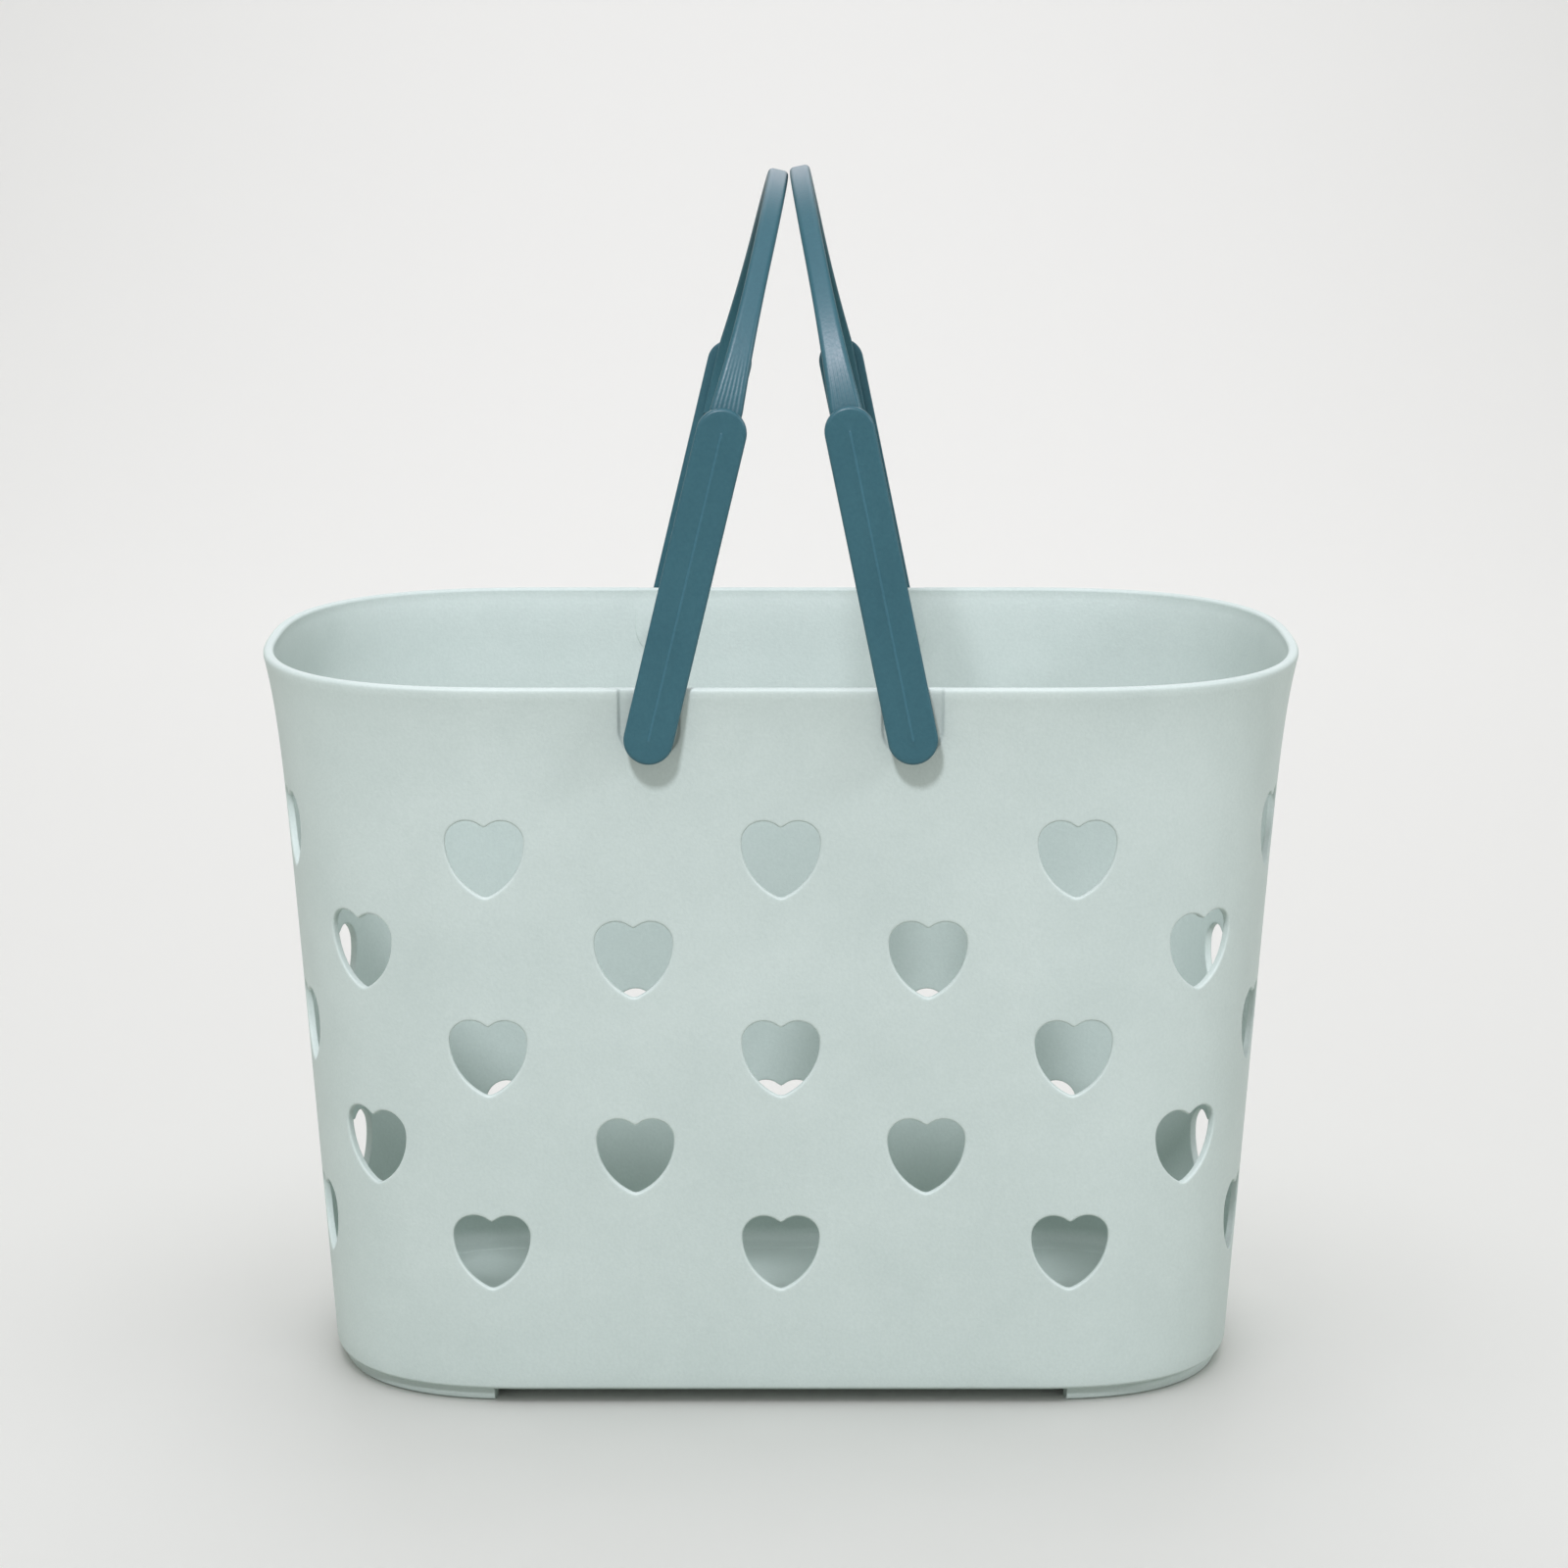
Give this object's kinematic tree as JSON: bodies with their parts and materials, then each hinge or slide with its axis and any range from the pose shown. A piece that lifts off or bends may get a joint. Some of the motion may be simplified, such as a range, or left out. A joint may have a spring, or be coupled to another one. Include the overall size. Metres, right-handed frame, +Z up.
{
  "type": "shower caddy",
  "caption": "Tapered oval plastic tote with heart-shaped drain openings, low foot ribs and paired arched bail handles that swing down over the ends.",
  "frame": {"origin": "on the ground under the middle of the basket", "axes": "+Z up, the long walls run along X, the front faces -Y, and the handles' pivots turn about Y"},
  "size_m": [0.34, 0.2068, 0.3955],
  "materials": {
    "basket_plastic": "fine matte grain, pale sage green",
    "handle_plastic": "smooth satin, dark teal"
  },
  "bodies": {
    "basket": {"basket_body": "basket_plastic"},
    "left_bail": {"left_handle": "handle_plastic"},
    "right_bail": {"right_handle": "handle_plastic"}
  },
  "joints": [
    {"name": "left_handle_swing", "type": "hinge", "parent": "basket", "child": "left_bail", "pos_m": [-0.041, 0, 0.2251], "axis": [0, -1, 0], "range_deg": [0, 145]},
    {"name": "right_handle_swing", "type": "hinge", "parent": "basket", "child": "right_bail", "pos_m": [0.041, 0, 0.2251], "axis": [0, 1, 0], "range_deg": [0, 143]}
  ]
}
